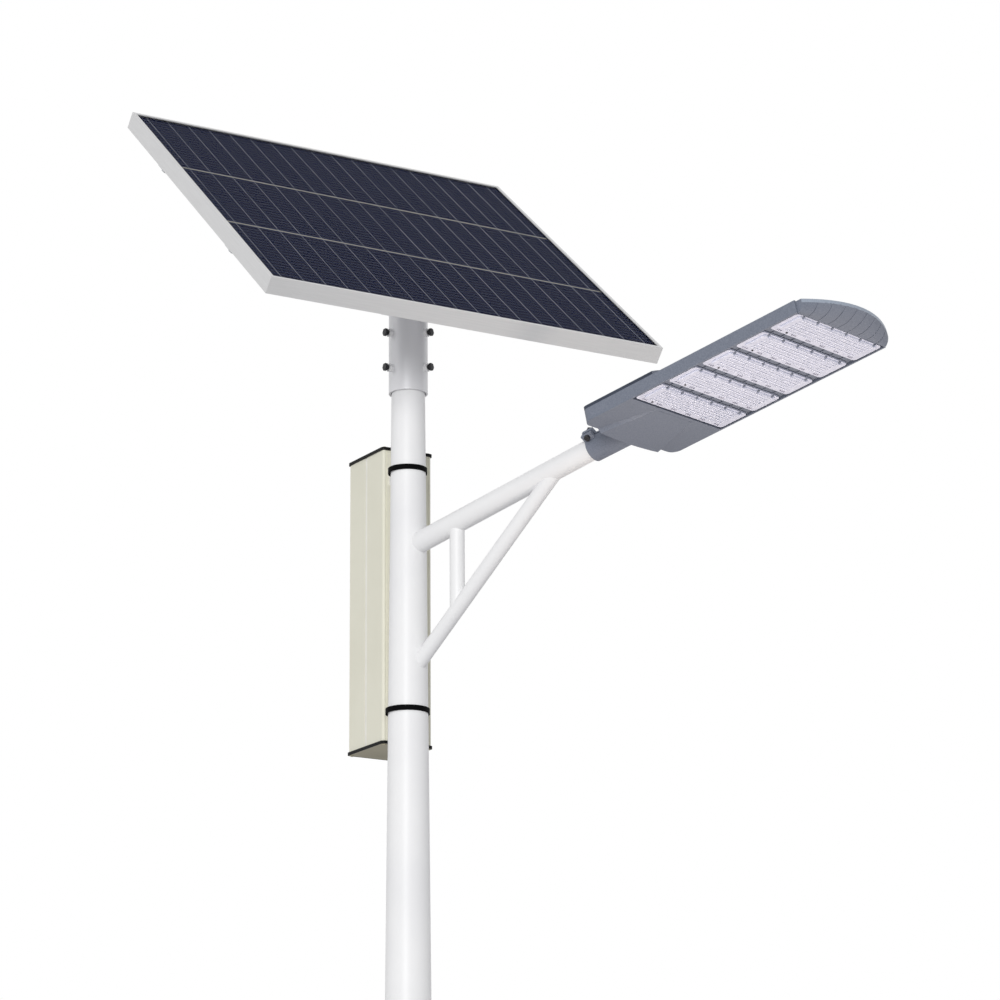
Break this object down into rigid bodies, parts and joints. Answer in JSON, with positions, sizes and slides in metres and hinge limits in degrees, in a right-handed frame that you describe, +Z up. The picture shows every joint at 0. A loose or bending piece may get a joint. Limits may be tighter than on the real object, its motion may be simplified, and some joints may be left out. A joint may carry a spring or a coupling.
{
  "type": "solar street lamp",
  "caption": "Tapered lamp post with a tilting solar panel on top, a strapped-on battery box and a flat LED lamp head on a braced arm.",
  "frame": {"origin": "centre of the base flange's underside, where the lamp stands on its foundation", "axes": "+Z up the pole, +X from the pole towards the lamp head, +Y completes the right hand; the panel slopes down towards +X turned 18 degrees to -Y"},
  "size_m": [1.8008, 1.1808, 5.5324],
  "materials": {
    "pole_white": "gloss white powder coat on steel",
    "bracket_grey": "light grey powder coat on steel",
    "band_black": "black coated steel strip",
    "dark_bolt": "blackened steel bolt",
    "bright_steel": "zinc plated steel",
    "brass": "plain brass",
    "bare_aluminium": "mill finish",
    "frame_aluminium": "clear anodised, satin",
    "panel_glass": "tempered low-iron sheet glass",
    "cell_blue": "monocrystalline silicon cells",
    "backsheet_white": "laminated polymer sheet",
    "black_plastic": "moulded polyamide",
    "box_beige": "extrusion with a warm grey paint",
    "gasket_rubber": "EPDM gasket",
    "battery_wrap": "shrink wrapped lithium pack",
    "controller_case": "anodised case",
    "head_grey": "blue-grey powder coat on die-cast aluminium",
    "lens_clear": "moulded clear lens plate",
    "board_white": "white solder mask on an aluminium board",
    "terminal_plastic": "moulded terminal strip"
  },
  "bodies": {
    "pole": {"base_flange": "pole_white", "base_gussets": "pole_white", "pole_shaft": "pole_white", "handhole_frame": "pole_white", "door_hinge_knuckles": "pole_white", "door_hinge_pin": "bright_steel", "earth_stud": "brass", "arm_tube": "pole_white", "brace_tube": "pole_white", "strut_tube": "pole_white", "battery_box_shell": "box_beige", "battery_box_top_cap": "box_beige", "battery_box_bottom_cap": "box_beige", "box_cap_gaskets": "gasket_rubber", "box_cap_screws": "box_beige", "box_cable_gland": "black_plastic", "battery_pack": "battery_wrap", "battery_tray": "bright_steel", "charge_controller": "controller_case", "box_saddles": "bracket_grey", "upper_band": "band_black", "lower_band": "band_black", "band_buckles": "band_black"},
    "sleeve": {"bracket_sleeve": "bracket_grey", "weld_nuts": "bracket_grey", "set_bolts": "dark_bolt", "tilt_bolt": "bright_steel", "tilt_nut": "bright_steel", "tilt_lock_bolt": "bright_steel", "tilt_lock_nut": "bright_steel"},
    "panel": {"support_spine": "bracket_grey", "panel_rails": "bare_aluminium", "rail_bolts": "bright_steel", "panel_clamp_bolts": "bright_steel", "panel_frame": "frame_aluminium", "panel_glass": "panel_glass", "solar_cells": "cell_blue", "panel_backsheet": "backsheet_white", "junction_box": "black_plastic", "junction_lid": "black_plastic", "junction_glands": "black_plastic"},
    "head": {"lamp_housing": "head_grey", "collar_clamp_bolt": "bright_steel", "front_nose": "head_grey", "led_lenses": "lens_clear", "led_boards": "board_white", "module_gaskets": "gasket_rubber", "module_screws": "bright_steel", "cover_hinge_pins": "bright_steel", "led_driver": "bare_aluminium", "terminal_block": "terminal_plastic"},
    "cover": {"driver_cover": "head_grey", "cover_screws": "bright_steel"},
    "door": {"handhole_door": "pole_white"},
    "lock": {"door_lock": "bright_steel"}
  },
  "joints": [
    {"name": "panel_swivel", "type": "hinge", "parent": "pole", "child": "sleeve", "pos_m": [0, 0, 4.82], "axis": [0, 0, 1], "range_deg": [-180, 180]},
    {"name": "panel_tilt", "type": "hinge", "parent": "sleeve", "child": "panel", "pos_m": [0, 0, 5.068], "axis": [0.309, 0.9511, 0], "range_deg": [-20, 20]},
    {"name": "lamp_roll", "type": "hinge", "parent": "pole", "child": "head", "pos_m": [0, 0, 4.469], "axis": [0.9781, 0, 0.2079], "range_deg": [-15, 15]},
    {"name": "cover_hinge", "type": "hinge", "parent": "head", "child": "cover", "pos_m": [0.73153, 0.161, 4.63472], "axis": [-0.9781, 0, -0.2079], "range_deg": [0, 105]},
    {"name": "door_hinge", "type": "hinge", "parent": "pole", "child": "door", "pos_m": [-0.055, -0.06334, 0.7], "axis": [0, 0, -1], "range_deg": [0, 110]},
    {"name": "lock_turn", "type": "hinge", "parent": "door", "child": "lock", "pos_m": [0.0175, -0.07328, 0.7], "axis": [0.2323, -0.9726, 0], "range_deg": [0, 90]}
  ]
}
